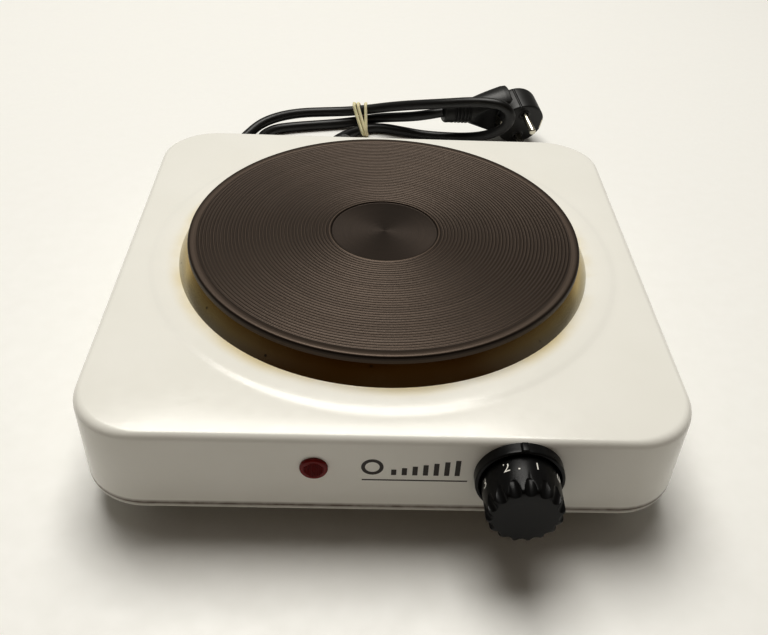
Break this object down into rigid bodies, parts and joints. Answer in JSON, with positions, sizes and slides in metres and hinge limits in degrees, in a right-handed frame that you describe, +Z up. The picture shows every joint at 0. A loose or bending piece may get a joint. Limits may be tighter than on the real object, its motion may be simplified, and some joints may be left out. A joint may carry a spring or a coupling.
{
  "type": "hot plate burner",
  "caption": "Free-standing electric hot plate: cast-iron disc in a steel trim ring on a square white enamelled housing, black control knob, red lamp, tied mains lead with a plug.",
  "frame": {"origin": "middle of the footprint on the table, under the housing and the knob, without the lead", "axes": "+Z up, -Y towards the user (the knob's side), +X to the user's right"},
  "size_m": [0.251, 0.4035, 0.0702],
  "materials": {
    "enamelled_steel": "white enamel, glossy",
    "enamelled_base": "white enamel, satin",
    "cast_iron": "machined and blackened",
    "stainless": "polished, heat tinted",
    "zinc_steel": "zinc plated",
    "fastener_steel": "zinc plated",
    "spring_steel": "tempered",
    "resistance_wire": "oxidised",
    "magnesia": "pressed powder",
    "steatite": "fired, unglazed",
    "black_phenolic": "glossy moulded",
    "lamp_red": "clear red moulded",
    "lamp_glass": "clear",
    "lamp_white": "moulded",
    "foot_rubber": "moulded",
    "lead_pvc": "extruded PVC, satin",
    "plug_pvc": "moulded PVC, matte",
    "band_rubber": "natural latex",
    "pin_nickel": "nickel plated brass",
    "contact_brass": "bright",
    "wire_brown": "silicone sleeve",
    "wire_blue": "silicone sleeve",
    "wire_green": "silicone sleeve",
    "wire_white": "glass-fibre sleeve"
  },
  "bodies": {
    "root": {"housing_shell": "enamelled_steel", "base_pan": "enamelled_base", "side_tabs": "zinc_steel", "foot_front_left": "foot_rubber", "foot_front_right": "foot_rubber", "foot_rear_left": "foot_rubber", "foot_rear_right": "foot_rubber", "foot_screws": "fastener_steel", "foot_nuts": "fastener_steel", "base_screws": "fastener_steel", "hotplate": "cast_iron", "trim_ring": "stainless", "coil_inner": "resistance_wire", "coil_middle": "resistance_wire", "coil_outer": "resistance_wire", "magnesia_filling": "magnesia", "coil_pins": "resistance_wire", "element_cover": "zinc_steel", "clamp_bridge": "zinc_steel", "plate_stud": "fastener_steel", "plate_washer": "fastener_steel", "plate_nut": "fastener_steel", "earth_tag": "contact_brass", "earth_screw": "fastener_steel", "terminal_block": "steatite", "terminal_screws": "contact_brass", "thermostat_bracket": "zinc_steel", "thermostat_body": "steatite", "thermostat_screws": "fastener_steel", "thermostat_terminals": "contact_brass", "bimetal_strip": "spring_steel", "contact_blade": "contact_brass", "knob_bezel": "black_phenolic", "lamp_lens": "lamp_red", "lamp_spring_nut": "spring_steel", "neon_bulb": "lamp_glass", "lamp_holder": "lamp_white", "cord_bush": "plug_pvc", "cord_inner_end": "lead_pvc", "wire_live": "wire_brown", "wire_neutral": "wire_blue", "wire_earth": "wire_green", "wire_switched": "wire_brown", "wire_lamp": "wire_white", "cord_lead": "lead_pvc", "cord_hank": "lead_pvc", "rubber_band": "band_rubber", "plug_body": "plug_pvc", "plug_pins": "pin_nickel", "plug_earth_contacts": "pin_nickel"},
    "knob_body": {"knob": "black_phenolic", "knob_spring_clip": "spring_steel", "spindle": "fastener_steel", "thermostat_cam": "black_phenolic"}
  },
  "joints": [
    {"name": "knob_turn", "type": "hinge", "parent": "root", "child": "knob_body", "pos_m": [0.053, -0.1135, 0.0396], "axis": [0, 1, 0], "range_deg": [-58, 212]}
  ]
}
